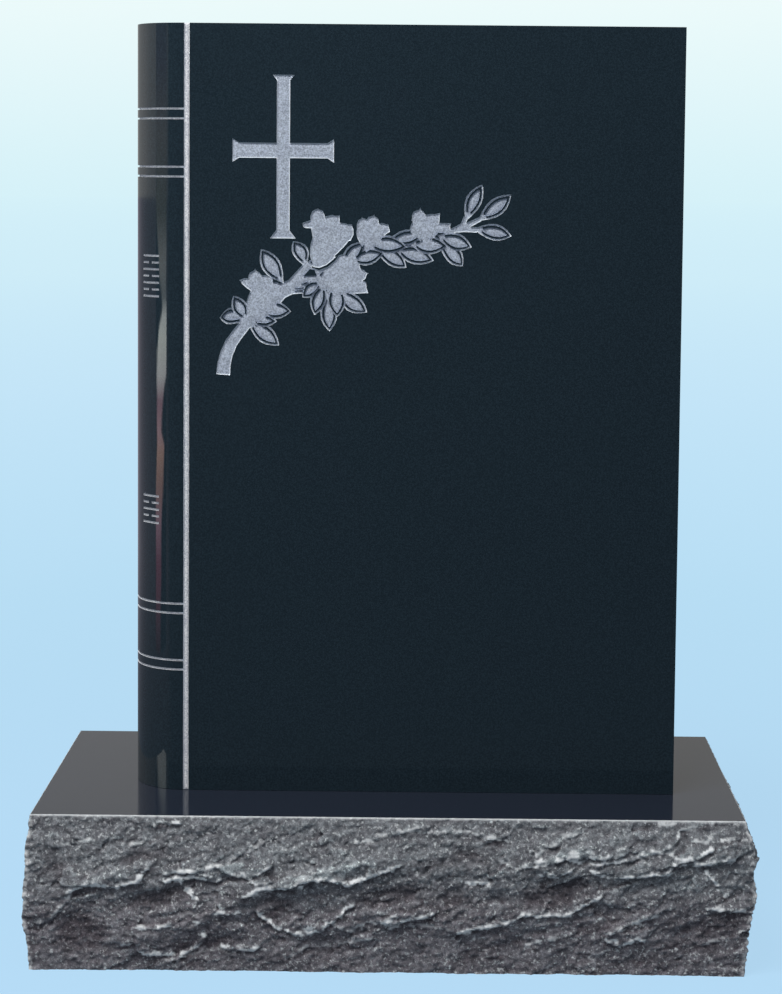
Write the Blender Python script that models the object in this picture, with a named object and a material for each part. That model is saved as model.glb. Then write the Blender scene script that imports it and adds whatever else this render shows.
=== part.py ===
"""A black granite headstone: a tablet cut like a closed book, standing on a rock-pitched base.

Metres, +Z up, the face towards -Y. The origin is on the ground, under the middle of the whole stone.
"""

import math
from collections import namedtuple

import bmesh
import bpy
from mathutils import Vector, noise
from mathutils.geometry import delaunay_2d_cdt

# Tablet
TABLET_WIDTH = 0.610
TABLET_HEIGHT = 0.858
TABLET_THICKNESS = 0.116
SPINE_FACETS = 20
CARVE_DEPTH = 0.002

# Base, measured at its top arrises
BASE_WIDTH = 0.775
BASE_DEPTH = 0.350
BASE_HEIGHT = 0.171
FRONT_LEDGE = 0.098
TABLET_OFFSET = 0.0145
SEAT_GAP = 0.0003

# How far each split side of the base stands out past its top arris
PROUD_FRONT = 0.016
PROUD_RIGHT = 0.015
PROUD_BACK = 0.016
PROUD_LEFT = 0.009
ROCK_STEP = 0.0165

# Lines cut down the joints and across the spine, like the hinge and the raised bands of a bound book
JOINT_LINE = 0.0062
BAND_LINE = 0.0022
BAND_PAIR = 0.0107
BAND_STEP = 0.064
TOP_BAND = 0.0994
BOTTOM_BAND = 0.1425

# Rows of plain strokes on the spine
STROKE_WIDTH = 0.0022
STROKE_PITCH = 0.0075
STROKE_GAP = 0.005
STROKES_ACROSS = 0.026
STROKES_PAST_JOINT = 0.0425
UPPER_STROKES_DROP = 0.2795
UPPER_STROKE_ROWS = 7
LOWER_STROKES_DROP = 0.5415
LOWER_STROKE_ROWS = 5

# Cross
CROSS_FROM_JOINT = 0.1096
CROSS_DROP = 0.139
CROSS_RISE = 0.083
CROSS_REACH = 0.056
CROSS_FOOT = 0.097
UPRIGHT_WIDTH = 0.0147
ARM_WIDTH = 0.0167
RISE_FLARE = (0.0245, 0.0056)
REACH_FLARE = (0.0260, 0.0072)
FOOT_FLARE = (0.0285, 0.0090)

# Spray of leaves and blossoms, placed by the cut end of its stem
SPRAY_FROM_JOINT = 0.044
SPRAY_DROP = 0.3866
SPRAY_LENGTH = 0.320
LEAF_RIM = 0.0022
LEAF_RIDGE = 0.0021
RIDGE_MOUTH = 0.0012
SIDE_POINTS = 7
TIP_CROWDING = 1.5

# The spray is drawn on a layout this many units long, x along it and y up it
LAYOUT_LENGTH = 320
SPRAY_SCALE = SPRAY_LENGTH / LAYOUT_LENGTH

# Each blade runs from its root to its tip, swells to its width at a share of its length, and bows sideways
Blade = namedtuple("Blade", "root tip width widest bow", defaults=(0.55, 0))

# How blunt a blade ends: the lower, the blunter
LEAF_TAPER = 0.85
PETAL_TAPER = 0.38

LEAVES = (
    Blade((267.5, 171.5), (285.5, 212), 18, 0.55, 1.2),
    Blade((281, 172), (317.5, 201), 19.5, 0.55, -0.8),
    Blade((276, 163), (318.5, 155.5), 18.5, 0.58, 0.8),
    Blade((237, 148), (265, 121.5), 19, 0.60, 2),
    Blade((236, 156), (274.5, 143), 20, 0.55, -0.5),
    Blade((180, 148), (220.5, 155.5), 18, 0.57, 0.5),
    Blade((166, 141), (202.5, 119.5), 19, 0.58, 2),
    Blade((189, 140), (233, 127.5), 20.5, 0.52),
    Blade((206, 145.5), (248, 144), 21, 0.50),
    Blade((130, 115), (157, 147.5), 18, 0.58, 2.5),
    Blade((140, 126), (178, 136), 19, 0.50),
    Blade((156, 145.5), (203.5, 142.5), 20.5, 0.52, 1),
    Blade((115.5, 95), (117.8, 48), 19, 0.62),
    Blade((126, 98), (159.5, 69.5), 20, 0.58, -3),
    Blade((112, 103), (87.5, 85.5), 17, 0.58, -2),
    Blade((112.5, 102), (101, 66), 18, 0.55, -1.2),
    Blade((124, 104), (126.5, 64), 21, 0.55),
    Blade((88, 120.5), (128, 129.5), 17, 0.50, -1.5),
    Blade((91, 119), (77, 147.5), 18, 0.60, -2.5),
    Blade((66.5, 101), (41.5, 138.5), 21.5, 0.55, 0.5),
    Blade((25, 58), (-4, 62), 19, 0.62, -4),
    Blade((26, 60), (11, 86.5), 18, 0.50),
    Blade((27, 58), (62, 31.8), 20, 0.53, 0.5),
    Blade((34, 66), (75, 69.8), 20, 0.60, 3),
    Blade((27, 58.5), (59.5, 58.5), 15, 0.55, 1),
)

# Each blossom is a heap of petals, whose widest place is near the tip
PETALS = (
    Blade((21, 56), (37, 66), 12, 0.50),
    Blade((30, 61), (47, 65.5), 8, 0.60),
    Blade((27, 56), (42, 104), 17, 0.50),
    Blade((44, 90), (19.5, 104.2), 12, 0.40, -1),
    Blade((38, 56), (52, 103), 26, 0.55),
    Blade((44, 64), (60, 102), 20, 0.62),
    Blade((36, 76), (34.5, 114.8), 15, 0.78),
    Blade((42, 76), (48, 109.8), 16, 0.88),
    Blade((104, 108), (116, 166), 30, 0.55),
    Blade((108, 163), (87.3, 166), 6, 0.85),
    Blade((105, 130), (103.8, 184), 16.5, 0.80),
    Blade((117, 128), (120.5, 177.2), 17, 0.92),
    Blade((119, 128), (136, 167.5), 22, 0.88),
    Blade((104, 102), (150, 112), 38, 0.50),
    Blade((122, 106), (137, 132), 18, 0.75),
    Blade((120, 106), (150, 124), 20, 0.80),
    Blade((118, 108), (158.8, 111.5), 14, 0.80),
    Blade((116, 106), (158.8, 96.5), 14, 0.90),
    Blade((158, 136), (164, 172), 30, 0.60),
    Blade((156, 138), (154, 174), 15, 0.72),
    Blade((161, 140), (165.5, 176.5), 13.5, 0.85),
    Blade((164, 142), (179.5, 167.5), 12, 0.88),
    Blade((224, 148), (222, 176), 34, 0.50),
    Blade((218, 148), (215, 183.5), 15, 0.80),
    Blade((230, 150), (230.5, 179.3), 17, 0.92),
    Blade((226, 160), (250.8, 164), 10, 0.92),
)

# Each stem is a middle line, with its width at the start and at the end
Stem = namedtuple("Stem", "line start_width end_width")

STEMS = (
    Stem(((0, -1.5), (0.8, 10), (3.6, 22), (8.8, 34), (16.5, 45), (27, 58)), 15.3, 12.5),
    Stem(((62, 86), (73, 98.3), (95, 123)), 10, 9),
    Stem(((58, 92), (74, 100), (90, 105.5), (112, 108)), 12, 5),
    Stem(((58, 91), (74, 97), (92, 98.6), (112, 98.6)), 5, 2.4),
    Stem(((58, 87), (72, 93.5), (92, 95)), 5, 2),
    Stem(((58, 78), (67, 87), (76, 90.6), (92, 91.4)), 7, 2.2),
    Stem(((244, 158), (254, 161), (264, 166.5), (268, 176)), 6, 5),
    Stem(((260, 164), (272, 168), (284, 174)), 7, 5),
    Stem(((254, 161), (266, 162.3), (280, 162)), 5, 6),
)

# A ledge is a fracture edge across a split side: its ends, as shares of the side's length and of the base's
# height below the top, and how far its crest stands out, as a share of the side's proudest place
Ledge = namedtuple("Ledge", "start end crest")

FRONT_LEDGES = (
    Ledge((0.00, 0.62), (0.08, 0.47), 0.50),
    Ledge((0.08, 0.47), (0.17, 0.41), 0.90),
    Ledge((0.17, 0.42), (0.25, 0.54), 0.75),
    Ledge((0.24, 0.61), (0.31, 0.58), 0.70),
    Ledge((0.30, 0.50), (0.50, 0.33), 1.00),
    Ledge((0.50, 0.35), (0.64, 0.38), 0.70),
    Ledge((0.64, 0.40), (0.72, 0.35), 0.75),
    Ledge((0.70, 0.35), (0.89, 0.32), 0.95),
    Ledge((0.89, 0.29), (1.00, 0.16), 0.70),
    Ledge((0.12, 0.84), (0.27, 0.66), 0.60),
    Ledge((0.37, 0.74), (0.56, 0.60), 0.50),
    Ledge((0.59, 0.70), (0.79, 0.50), 0.70),
    Ledge((0.80, 0.72), (0.92, 0.55), 0.55),
    Ledge((0.44, 0.16), (0.66, 0.10), 0.35),
)
RIGHT_LEDGES = (
    Ledge((0.00, 0.24), (0.40, 0.27), 1.00),
    Ledge((0.00, 0.54), (0.45, 0.50), 1.00),
    Ledge((0.35, 0.40), (0.75, 0.33), 0.70),
    Ledge((0.55, 0.66), (1.00, 0.55), 0.60),
    Ledge((0.70, 0.30), (1.00, 0.22), 0.60),
)
BACK_LEDGES = (
    Ledge((0.00, 0.40), (0.22, 0.34), 0.80),
    Ledge((0.20, 0.52), (0.45, 0.38), 1.00),
    Ledge((0.44, 0.44), (0.70, 0.30), 0.85),
    Ledge((0.66, 0.48), (1.00, 0.42), 0.80),
    Ledge((0.10, 0.74), (0.38, 0.66), 0.55),
    Ledge((0.50, 0.72), (0.82, 0.66), 0.60),
)
LEFT_LEDGES = (
    Ledge((0.00, 0.36), (0.45, 0.42), 0.70),
    Ledge((0.40, 0.50), (1.00, 0.58), 0.80),
    Ledge((0.10, 0.74), (0.60, 0.70), 0.70),
    Ledge((0.55, 0.78), (1.00, 0.74), 1.00),
)

# How a ledge comes and goes: its rise and fall as shares of the base's height, its ends as a share of the side
CREST_RISE = 0.34
CREST_FALL = 0.09
CREST_END = 0.05

# The side between its ledges: a belly lifted above the middle, lumps, and a flush strip under the top arris
BELLY_SHARE = 0.45
BELLY_LIFT = 0.8
UNDER_SHARE = 0.25
FOOT_SHARE = 0.12
GRAIN_SHARE = 0.22
GRAIN_SIZE = 0.030
ARRIS_SHARE = 1 / 6

# The cut that divides the skin joins points closer than this, and faces this close to flat become one
SAME_POINT = 1e-6
FLAT_ANGLE = math.radians(0.05)
INSIDE_ONLY = 1

SPINE_RADIUS = TABLET_THICKNESS / 2
FACE_WIDTH = TABLET_WIDTH - SPINE_RADIUS
SPINE_ARC = math.pi * SPINE_RADIUS
SHEET_LEFT = -(SPINE_ARC + FACE_WIDTH + TABLET_THICKNESS)

BASE_X = (PROUD_LEFT - PROUD_RIGHT) / 2
BASE_Y = (PROUD_FRONT - PROUD_BACK) / 2
JOINT_X = BASE_X + TABLET_OFFSET - TABLET_WIDTH / 2 + SPINE_RADIUS
FACE_Y = BASE_Y - BASE_DEPTH / 2 + FRONT_LEDGE
TABLET_Z = BASE_HEIGHT + SEAT_GAP

SIDE_COLUMNS = max(4, round(BASE_DEPTH / ROCK_STEP))
FRONT_COLUMNS = max(8, round(BASE_WIDTH / ROCK_STEP))
ROCK_ROWS = max(4, round(BASE_HEIGHT / ROCK_STEP))


def clear_scene():
    for obj in list(bpy.data.objects):
        bpy.data.objects.remove(obj, do_unlink=True)


def stone(name, colour, roughness):
    material = bpy.data.materials.new(name)
    material.use_nodes = True
    shader = material.node_tree.nodes["Principled BSDF"]
    shader.inputs["Base Color"].default_value = (*colour, 1)
    shader.inputs["Roughness"].default_value = roughness
    shader.inputs["Metallic"].default_value = 0
    return material


def make_object(name, shape, materials):
    mesh = bpy.data.meshes.new(name)
    shape.to_mesh(mesh)
    shape.free()
    for material in materials:
        mesh.materials.append(material)
    obj = bpy.data.objects.new(name, mesh)
    bpy.context.scene.collection.objects.link(obj)
    return obj


# The tablet's sheet: its outer skin laid flat. Across 0 is the joint of the face and the spine, the face runs
# to the right of it, and the spine, the back and the fore edge follow to the left. Up is 0 at the underside.


def spine_corner(facet, depth):
    angle = math.pi * facet / SPINE_FACETS
    reach = SPINE_RADIUS - depth
    return Vector((JOINT_X - reach * math.sin(angle), FACE_Y + SPINE_RADIUS - reach * math.cos(angle)))


def wrap(across, up, depth):
    """The place in space of a point of the sheet, sunk by depth into the stone."""
    z = TABLET_Z + up
    past = -across
    if past <= 0:
        return Vector((JOINT_X + across, FACE_Y + depth, z))
    if past < SPINE_ARC:
        facet, share = divmod(past / SPINE_ARC * SPINE_FACETS, 1)
        flat = spine_corner(facet, depth).lerp(spine_corner(facet + 1, depth), share)
        return Vector((flat.x, flat.y, z))
    past -= SPINE_ARC
    if past <= FACE_WIDTH:
        return Vector((JOINT_X + past, FACE_Y + TABLET_THICKNESS - depth, z))
    past -= FACE_WIDTH
    return Vector((JOINT_X + FACE_WIDTH - depth, FACE_Y + TABLET_THICKNESS - past, z))


def rectangle(left, right, low, high):
    return [(left, low), (right, low), (right, high), (left, high)]


def joint_outlines():
    """The line down the front joint, and its twin down the back one."""
    front = rectangle(0, JOINT_LINE, 0, TABLET_HEIGHT)
    back = rectangle(-SPINE_ARC - JOINT_LINE, -SPINE_ARC, 0, TABLET_HEIGHT)
    return [front, back]


def band_outlines():
    """Two pairs of lines round the spine near each end, from one joint line to the other."""
    middles = [TABLET_HEIGHT - TOP_BAND - BAND_STEP * i for i in range(2)]
    middles += [BOTTOM_BAND + BAND_STEP * i for i in range(2)]
    left = -SPINE_ARC - JOINT_LINE / 2
    right = JOINT_LINE / 2
    outlines = []
    for middle in middles:
        for side in (-1, 1):
            height = middle + side * BAND_PAIR / 2
            outlines.append(rectangle(left, right, height - BAND_LINE / 2, height + BAND_LINE / 2))
    return outlines


def stroke_outlines(drop, rows):
    """Rows of strokes on the spine, by turns one long stroke and two short ones."""
    middle = TABLET_HEIGHT - drop
    left = -STROKES_PAST_JOINT - STROKES_ACROSS / 2
    outlines = []
    for row in range(rows):
        height = middle + (row - (rows - 1) / 2) * STROKE_PITCH
        count = 1 + row % 2
        length = (STROKES_ACROSS - (count - 1) * STROKE_GAP) / count
        for i in range(count):
            start = left + i * (length + STROKE_GAP)
            low = height - STROKE_WIDTH / 2
            outlines.append(rectangle(start, start + length, low, low + STROKE_WIDTH))
    return outlines


def cross_outline():
    """A Latin cross whose four ends flare."""
    arms = (
        ((0, 1), CROSS_RISE, UPRIGHT_WIDTH, RISE_FLARE),
        ((1, 0), CROSS_REACH, ARM_WIDTH, REACH_FLARE),
        ((0, -1), CROSS_FOOT, UPRIGHT_WIDTH, FOOT_FLARE),
        ((-1, 0), CROSS_REACH, ARM_WIDTH, REACH_FLARE),
    )
    middle = Vector((CROSS_FROM_JOINT, TABLET_HEIGHT - CROSS_DROP))
    outline = []
    for way, length, width, (flare_width, flare_length) in arms:
        out = Vector(way)
        side = Vector((-out.y, out.x))
        start = length - flare_length
        outline.append(middle + out * start + side * width / 2)
        outline.append(middle + out * length + side * flare_width / 2)
        outline.append(middle + out * length - side * flare_width / 2)
        outline.append(middle + out * start - side * width / 2)
        crossing = UPRIGHT_WIDTH if out.y == 0 else ARM_WIDTH
        outline.append(middle + out * crossing / 2 - side * width / 2)
    return outline


def laid_out(point):
    """A point of the spray's layout, placed on the sheet."""
    return Vector((SPRAY_FROM_JOINT, TABLET_HEIGHT - SPRAY_DROP)) + Vector(point) * SPRAY_SCALE


def half_width(blade, taper, share):
    """Half the blade's width at a share of its length: it swells to the widest place and closes at the tip."""
    full = blade.width * SPRAY_SCALE / 2
    if share < blade.widest:
        return full * math.sin(math.pi / 2 * share / blade.widest)
    return full * math.cos(math.pi / 2 * (share - blade.widest) / (1 - blade.widest)) ** taper


def blade_side(blade, share, offset):
    """A point beside the blade's middle line, which bows to one side."""
    root, tip = laid_out(blade.root), laid_out(blade.tip)
    along = tip - root
    side = Vector((-along.y, along.x)).normalized()
    bow = blade.bow * SPRAY_SCALE * 4 * share * (1 - share)
    return root + along * share + side * (bow + offset)


def blade_path(blade, taper, start, end, inset):
    """Up one side of the blade, over its tip and down the other, a little inside its outline, closer near the tip."""
    shares = [end - (end - start) * (1 - i / SIDE_POINTS) ** TIP_CROWDING for i in range(SIDE_POINTS)]
    reaches = [half_width(blade, taper, share) - inset for share in shares]
    up = [blade_side(blade, share, reach) for share, reach in zip(shares, reaches)]
    down = [blade_side(blade, share, -reach) for share, reach in zip(shares, reaches)]
    return up + [blade_side(blade, end, 0)] + down[::-1]


def blade_outline(blade, taper):
    return blade_path(blade, taper, 0, 1, 0)[1:]


def leaf_ridge(leaf):
    """The polished line left standing inside a leaf, open at the leaf's root."""
    full = half_width(leaf, LEAF_TAPER, leaf.widest)
    quarter = math.pi / 2
    start = leaf.widest * math.asin((LEAF_RIM + LEAF_RIDGE + RIDGE_MOUTH) / full) / quarter
    ends = [
        leaf.widest + (1 - leaf.widest) * math.acos((inset / full) ** (1 / LEAF_TAPER)) / quarter
        for inset in (LEAF_RIM, LEAF_RIM + LEAF_RIDGE)
    ]
    outer = blade_path(leaf, LEAF_TAPER, start, ends[0], LEAF_RIM)
    inner = blade_path(leaf, LEAF_TAPER, start, ends[1], LEAF_RIM + LEAF_RIDGE)
    return outer + inner[::-1]


def stem_outline(stem):
    line = [laid_out(point) for point in stem.line]
    left, right = [], []
    for i, point in enumerate(line):
        along = line[min(i + 1, len(line) - 1)] - line[max(i - 1, 0)]
        side = Vector((-along.y, along.x)).normalized()
        share = i / (len(line) - 1)
        width = (stem.start_width * (1 - share) + stem.end_width * share) * SPRAY_SCALE
        left.append(point + side * width / 2)
        right.append(point - side * width / 2)
    return left + right[::-1]


def carvings():
    """All outlines on the sheet, each with whether it is sunk, from the hindmost to the one in front."""
    sunk = joint_outlines() + band_outlines()
    sunk += stroke_outlines(UPPER_STROKES_DROP, UPPER_STROKE_ROWS)
    sunk += stroke_outlines(LOWER_STROKES_DROP, LOWER_STROKE_ROWS)
    sunk.append(cross_outline())
    sunk += [stem_outline(stem) for stem in STEMS]
    layers = [(outline, True) for outline in sunk]
    for leaf in LEAVES:
        layers.append((blade_outline(leaf, LEAF_TAPER), True))
        layers.append((leaf_ridge(leaf), False))
    layers += [(blade_outline(petal, PETAL_TAPER), True) for petal in PETALS]
    return layers


def counter_clockwise(outline):
    """The outline turned, if need be, to run round its inside on the left, as the division below reads it."""
    turned = outline[1:] + outline[:1]
    area = sum(a[0] * b[1] - a[1] * b[0] for a, b in zip(outline, turned))
    return outline if area > 0 else outline[::-1]


def divided_sheet(layers):
    """The sheet cut along every outline and fold: its points, its triangles, and which triangles are sunk."""
    points = [Vector(corner) for corner in rectangle(SHEET_LEFT, FACE_WIDTH, 0, TABLET_HEIGHT)]
    faces = [[0, 1, 2, 3]]
    folds = [-SPINE_ARC * i / SPINE_FACETS for i in range(SPINE_FACETS + 1)]
    folds.append(-SPINE_ARC - FACE_WIDTH)
    edges = []
    for fold in folds:
        edges.append((len(points), len(points) + 1))
        points += [Vector((fold, 0)), Vector((fold, TABLET_HEIGHT))]
    for outline, _ in layers:
        faces.append(list(range(len(points), len(points) + len(outline))))
        points += [Vector(point) for point in counter_clockwise(outline)]
    cut = delaunay_2d_cdt(points, edges, faces, INSIDE_ONLY, SAME_POINT)
    triangles = [tuple(face) for face in cut[2]]
    sunk = []
    for owners in cut[5]:
        front = max(owners)
        sunk.append(front > 0 and layers[front - 1][1])
    return cut[0], triangles, sunk


def tablet_shape():
    points, triangles, sunk = divided_sheet(carvings())
    shape = bmesh.new()
    corners = {}

    def corner(index, low):
        if (index, low) not in corners:
            place = wrap(points[index].x, points[index].y, CARVE_DEPTH if low else 0)
            corners[index, low] = shape.verts.new(place)
        return corners[index, low]

    beside = {}
    for triangle, low in zip(triangles, sunk):
        face = shape.faces.new([corner(index, low) for index in triangle])
        face.material_index = int(low)
        for i in range(3):
            ends = (triangle[i], triangle[(i + 1) % 3])
            beside.setdefault(frozenset(ends), []).append((ends, low))
    for sides in beside.values():
        if len(sides) == 2 and sides[0][1] != sides[1][1]:
            (a, b), _ = sides[0] if sides[0][1] else sides[1]
            wall = shape.faces.new([corner(b, True), corner(a, True), corner(a, False), corner(b, False)])
            wall.material_index = 1
    bmesh.ops.remove_doubles(shape, verts=shape.verts, dist=SAME_POINT)
    rims = [edge for edge in shape.edges if edge.is_boundary]
    bmesh.ops.holes_fill(shape, edges=rims, sides=0)
    bmesh.ops.recalc_face_normals(shape, faces=shape.faces)
    bmesh.ops.dissolve_limit(
        shape,
        angle_limit=FLAT_ANGLE,
        verts=shape.verts,
        edges=shape.edges,
        delimit={"MATERIAL"},
    )
    bmesh.ops.triangulate(shape, faces=shape.faces)
    return shape


# The base: a ring of columns down its four split sides, closed by a flat top and a flat bottom.


def ledge_push(ledge, along, drop):
    """The push of one fracture edge: a slow rise down to its line and a quick fall below it."""
    share = (along - ledge.start[0]) / (ledge.end[0] - ledge.start[0])
    beyond = max(-share, share - 1, 0) * (ledge.end[0] - ledge.start[0])
    held = min(max(share, 0), 1)
    line = ledge.start[1] + (ledge.end[1] - ledge.start[1]) * held
    below = drop - line
    slope = below / CREST_FALL if below > 0 else -below / CREST_RISE
    return ledge.crest * max(0, 1 - slope) * max(0, 1 - beyond / CREST_END)


def rock_push(ledges, along, drop, length, seed):
    """How far the split side stands out of its arris line, before it is brought to its proud size."""
    belly = BELLY_SHARE * math.sin(math.pi * drop**BELLY_LIFT)
    crest = max(ledge_push(ledge, along, drop) for ledge in ledges)
    place = Vector((along * length / GRAIN_SIZE, drop * BASE_HEIGHT / GRAIN_SIZE, seed))
    grain = GRAIN_SHARE * noise.noise(place)
    fade = min(1, drop / ARRIS_SHARE)
    return fade * (max(belly, crest) + UNDER_SHARE * min(belly, crest) + grain + FOOT_SHARE * drop)


def side_pushes(ledges, columns, length, proud, seed):
    """The push at each column and row of one side, with the proudest point at the named size."""
    grid = [
        [
            max(0, rock_push(ledges, column / columns, row / ROCK_ROWS, length, seed))
            for row in range(ROCK_ROWS + 1)
        ]
        for column in range(columns + 1)
    ]
    scale = proud / max(max(column) for column in grid)
    return [[push * scale for push in column] for column in grid]


def base_shape():
    half_x, half_y = BASE_WIDTH / 2, BASE_DEPTH / 2
    sides = (
        ((-half_x, -half_y), (1, 0), (0, -1), BASE_WIDTH, FRONT_COLUMNS, FRONT_LEDGES, PROUD_FRONT),
        ((half_x, -half_y), (0, 1), (1, 0), BASE_DEPTH, SIDE_COLUMNS, RIGHT_LEDGES, PROUD_RIGHT),
        ((half_x, half_y), (-1, 0), (0, 1), BASE_WIDTH, FRONT_COLUMNS, BACK_LEDGES, PROUD_BACK),
        ((-half_x, half_y), (0, -1), (-1, 0), BASE_DEPTH, SIDE_COLUMNS, LEFT_LEDGES, PROUD_LEFT),
    )
    pushes = [
        side_pushes(ledges, columns, length, proud, seed)
        for seed, (_, _, _, length, columns, ledges, proud) in enumerate(sides)
    ]
    shape = bmesh.new()
    ring = []
    for index, (start, way, out, length, columns, _, _) in enumerate(sides):
        last_side = sides[index - 1]
        for column in range(columns):
            verts = []
            for row in range(ROCK_ROWS + 1):
                place = Vector(start) + Vector(way) * length * column / columns
                place += Vector(out) * pushes[index][column][row]
                if column == 0:
                    place += Vector(last_side[2]) * pushes[index - 1][-1][row]
                z = BASE_HEIGHT * (1 - row / ROCK_ROWS)
                verts.append(shape.verts.new((BASE_X + place.x, BASE_Y + place.y, z)))
            ring.append(verts)
    for index, right in enumerate(ring):
        left = ring[index - 1]
        for row in range(ROCK_ROWS):
            shape.faces.new([left[row], left[row + 1], right[row + 1], right[row]])
    shape.faces.new([verts[0] for verts in ring])
    shape.faces.new([verts[-1] for verts in reversed(ring)])
    bmesh.ops.recalc_face_normals(shape, faces=shape.faces)
    bmesh.ops.triangulate(shape, faces=shape.faces)
    return shape


def build():
    clear_scene()
    polished = stone("polished_black_granite", (0.012, 0.014, 0.018), 0.04)
    blasted = stone("blasted_granite", (0.55, 0.56, 0.60), 0.8)
    split = stone("rock_pitched_granite", (0.09, 0.09, 0.09), 0.7)
    make_object("base", base_shape(), [split])
    make_object("tablet", tablet_shape(), [polished, blasted])


build()
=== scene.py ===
"""A black granite headstone cut like a closed book, on a rock-pitched base, as it stands in the studio.

Metres, +Z up, the face towards -Y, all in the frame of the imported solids.
"""

import math

import bmesh
import bpy
import numpy as np
from mathutils import Matrix, Vector, noise
from mathutils.bvhtree import BVHTree
from mathutils.geometry import delaunay_2d_cdt, intersect_point_tri_2d


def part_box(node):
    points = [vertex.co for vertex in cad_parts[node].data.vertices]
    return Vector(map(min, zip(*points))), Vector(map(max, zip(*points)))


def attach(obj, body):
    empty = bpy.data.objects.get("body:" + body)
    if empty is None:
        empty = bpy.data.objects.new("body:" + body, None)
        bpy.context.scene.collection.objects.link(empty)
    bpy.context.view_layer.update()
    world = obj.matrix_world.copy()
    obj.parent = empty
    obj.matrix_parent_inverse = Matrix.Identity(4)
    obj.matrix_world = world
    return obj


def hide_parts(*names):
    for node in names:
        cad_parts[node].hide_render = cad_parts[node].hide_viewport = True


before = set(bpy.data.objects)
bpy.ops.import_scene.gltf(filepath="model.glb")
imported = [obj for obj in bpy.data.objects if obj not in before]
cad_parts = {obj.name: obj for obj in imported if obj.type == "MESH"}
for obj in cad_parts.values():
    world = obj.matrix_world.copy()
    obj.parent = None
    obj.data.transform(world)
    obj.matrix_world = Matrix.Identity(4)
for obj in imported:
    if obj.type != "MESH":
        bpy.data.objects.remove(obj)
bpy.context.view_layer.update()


# The camera stands square to the face, a little lower than the top of the stone and 2.5 metres off. Its lens
# is long and looks down a little, and the picture is shifted further down and a little to the left.

CAMERA_PLACE = Vector((0.0335, -2.512, 0.883))
CAMERA_TURN = math.radians(-0.14)
CAMERA_TILT = math.radians(4.15)
CAMERA_ROLL = math.radians(0.53)
CAMERA_LENS = 79.75
CAMERA_SHIFT = (-0.03, -0.18)
CAMERA_SIGHT = 100


def in_scene(name, content):
    made = bpy.data.objects.new(name, content)
    bpy.context.scene.collection.objects.link(made)
    return made


ahead = Vector((
    math.sin(CAMERA_TURN) * math.cos(CAMERA_TILT),
    math.cos(CAMERA_TURN) * math.cos(CAMERA_TILT),
    -math.sin(CAMERA_TILT),
))
level = Vector((math.cos(CAMERA_TURN), -math.sin(CAMERA_TURN), 0))
upward = level.cross(ahead)
across = level * math.cos(CAMERA_ROLL) + upward * math.sin(CAMERA_ROLL)
upright = upward * math.cos(CAMERA_ROLL) - level * math.sin(CAMERA_ROLL)
lens = bpy.data.cameras.new("studio_camera")
lens.lens = CAMERA_LENS
lens.shift_x, lens.shift_y = CAMERA_SHIFT
lens.clip_end = CAMERA_SIGHT
camera = in_scene("studio_camera", lens)
turned = Matrix((across, upright, -ahead)).transposed().to_4x4()
camera.matrix_world = Matrix.Translation(CAMERA_PLACE) @ turned
bpy.context.scene.camera = camera
bpy.context.scene.view_settings.view_transform = "Standard"


# The base is one block of the same black granite. Its four sides are split off with hammer and pitching tool,
# which leaves grey fractured stone with bruised white edges, and only its top is sawn, ground and polished.

BASE_TOP_CHAMFER = 0.0009
SPLIT_ROWS = 97
FRONT_SPLIT_COLUMNS = 470
BACK_SPLIT_COLUMNS = 250
END_SPLIT_COLUMNS = 140
SOFTEN_REACH = 0.009
STRATA_SLOPE = math.radians(13)
RAY_START = 0.1
EDGE_MARGIN = 0.001
TOP_MARGIN = 0.0002
SAME_PLACE = 1e-5

# Fracture edges of the front, in millimetres along from its left arris and down from its top, with how far
# the crest stands out and how white it is bruised
FRONT_FRACTURES = (
    (((50, 83), (67, 74), (96, 76), (118, 71), (132, 55)), 2.4, 0.9),
    (((30, 34), (64, 27), (83, 26)), 1.4, 0.35),
    (((104, 33), (125, 29)), 1.2, 0.3),
    (((166, 72), (182, 89)), 1.5, 1.0),
    (((207, 105), (228, 104)), 1.6, 0.9),
    (((182, 113), (195, 115)), 1.2, 0.8),
    (((125, 122), (155, 120)), 1.6, 0.7),
    (((102, 143), (111, 139)), 1.2, 0.6),
    (((236, 85), (253, 77), (291, 76), (304, 66), (320, 65), (343, 71), (365, 63), (396, 52)), 3.0, 1.0),
    (((231, 61), (245, 71)), 1.0, 0.6),
    (((304, 121), (324, 118)), 1.5, 0.8),
    (((472, 69), (490, 67)), 1.5, 0.9),
    (((547, 58), (567, 60), (580, 54)), 2.2, 0.9),
    (((603, 55), (619, 61)), 1.6, 0.9),
    (((635, 61), (661, 58), (684, 55), (691, 43), (711, 39), (730, 29)), 3.2, 0.8),
    (((724, 53), (740, 79)), 1.6, 0.9),
    (((572, 36), (602, 32)), 1.2, 0.5),
    (((602, 47), (647, 41), (668, 32), (687, 34)), 1.8, 0.6),
    (((714, 22), (767, 19)), 1.0, 0.5),
    (((682, 7), (698, 4)), 0.6, 0.5),
    (((349, 27), (397, 17)), 1.0, 0.5),
    (((381, 18), (434, 8)), 0.9, 0.4),
    (((420, 15), (471, 15), (514, 24)), 1.0, 0.45),
    (((461, 125), (519, 113), (530, 104), (580, 103), (610, 81)), 2.8, 0.7),
    (((626, 123), (663, 107), (674, 102)), 2.2, 0.6),
    (((381, 114), (415, 111), (437, 103)), 2.0, 0.7),
    (((538, 139), (567, 131)), 1.4, 0.4),
    (((31, 113), (50, 89)), 1.8, 0.4),
)
CREST_SHARE = 0.8
CREST_RISE = 0.013
CREST_FALL = 0.0026
CREST_END = 0.009
UNDERCUT_REACH = 0.015
UNDERCUT_SHARE = 0.55

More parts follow.
